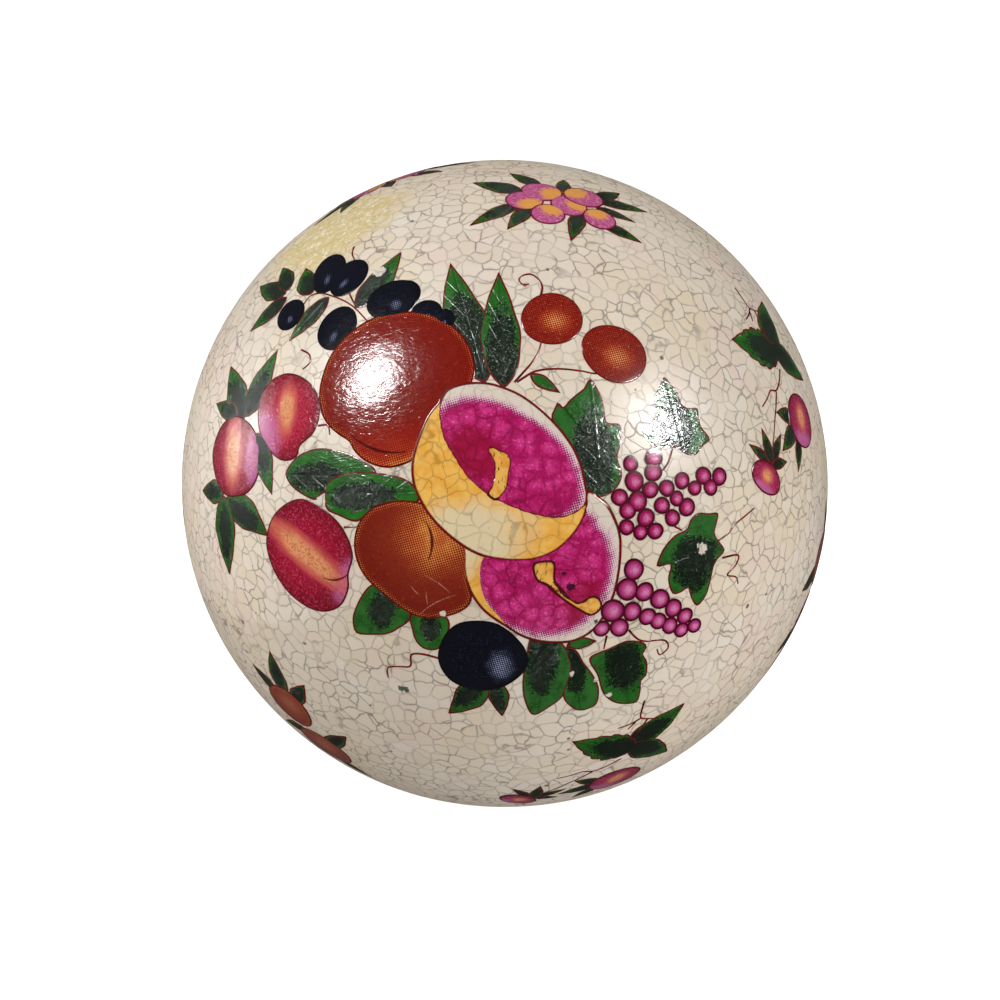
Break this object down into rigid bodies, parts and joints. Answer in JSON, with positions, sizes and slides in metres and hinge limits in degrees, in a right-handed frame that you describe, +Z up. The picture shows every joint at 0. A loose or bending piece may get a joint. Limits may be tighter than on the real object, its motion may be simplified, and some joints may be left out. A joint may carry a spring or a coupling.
{
  "type": "decorated croquet ball",
  "caption": "Hollow ceramic ball of croquet size with a crackle glaze and fruit transfers fired on all round; a small vent in the foot.",
  "frame": {"origin": "centre of the ball", "axes": "+Z up through the crown, with the vent at the foot on -Z; -Y towards the middle of the front spray; +X to the right of that spray"},
  "size_m": [0.092, 0.0922, 0.092],
  "materials": {
    "bisque": "matte",
    "slip": "matte",
    "glaze": "gloss",
    "leaf_print": "gloss",
    "peach_print": "gloss",
    "melon_skin_print": "gloss",
    "melon_flesh_print": "gloss",
    "stalk_print": "gloss",
    "plum_print": "gloss",
    "blue_print": "gloss",
    "cherry_print": "gloss",
    "grape_print": "gloss",
    "line_print": "gloss",
    "berry_print": "gloss",
    "small_peach_print": "gloss"
  },
  "bodies": {
    "root": {"upper_half_shell": "bisque", "lower_half_shell": "bisque", "luting_seam": "slip", "glaze_coat": "glaze", "front_spray_leaves": "leaf_print", "front_spray_peaches": "peach_print", "front_spray_melon_skins": "melon_skin_print", "front_spray_melon_flesh": "melon_flesh_print", "front_spray_seed_stalks": "stalk_print", "front_spray_red_plums": "plum_print", "front_spray_blue_plums": "blue_print", "front_spray_cherries": "cherry_print", "front_spray_grapes": "grape_print", "front_spray_tendrils": "line_print", "front_crown_leaves": "leaf_print", "front_crown_berries": "berry_print", "front_side_leaves": "leaf_print", "front_side_plums": "plum_print", "front_side_twigs": "line_print", "front_foot_leaves": "leaf_print", "front_foot_plums": "plum_print", "front_foot_twigs": "line_print", "front_left_leaves": "leaf_print", "front_left_peaches": "small_peach_print", "front_edge_leaves": "leaf_print", "front_edge_peaches": "small_peach_print", "back_spray_leaves": "leaf_print", "back_spray_peaches": "peach_print", "back_spray_melon_skins": "melon_skin_print", "back_spray_melon_flesh": "melon_flesh_print", "back_spray_seed_stalks": "stalk_print", "back_spray_red_plums": "plum_print", "back_spray_blue_plums": "blue_print", "back_spray_cherries": "cherry_print", "back_spray_grapes": "grape_print", "back_spray_tendrils": "line_print", "back_crown_leaves": "leaf_print", "back_crown_berries": "berry_print", "back_side_leaves": "leaf_print", "back_side_plums": "plum_print", "back_side_twigs": "line_print", "back_foot_leaves": "leaf_print", "back_foot_plums": "plum_print", "back_foot_twigs": "line_print", "back_left_leaves": "leaf_print", "back_left_peaches": "small_peach_print", "back_edge_leaves": "leaf_print", "back_edge_peaches": "small_peach_print"}
  },
  "joints": []
}
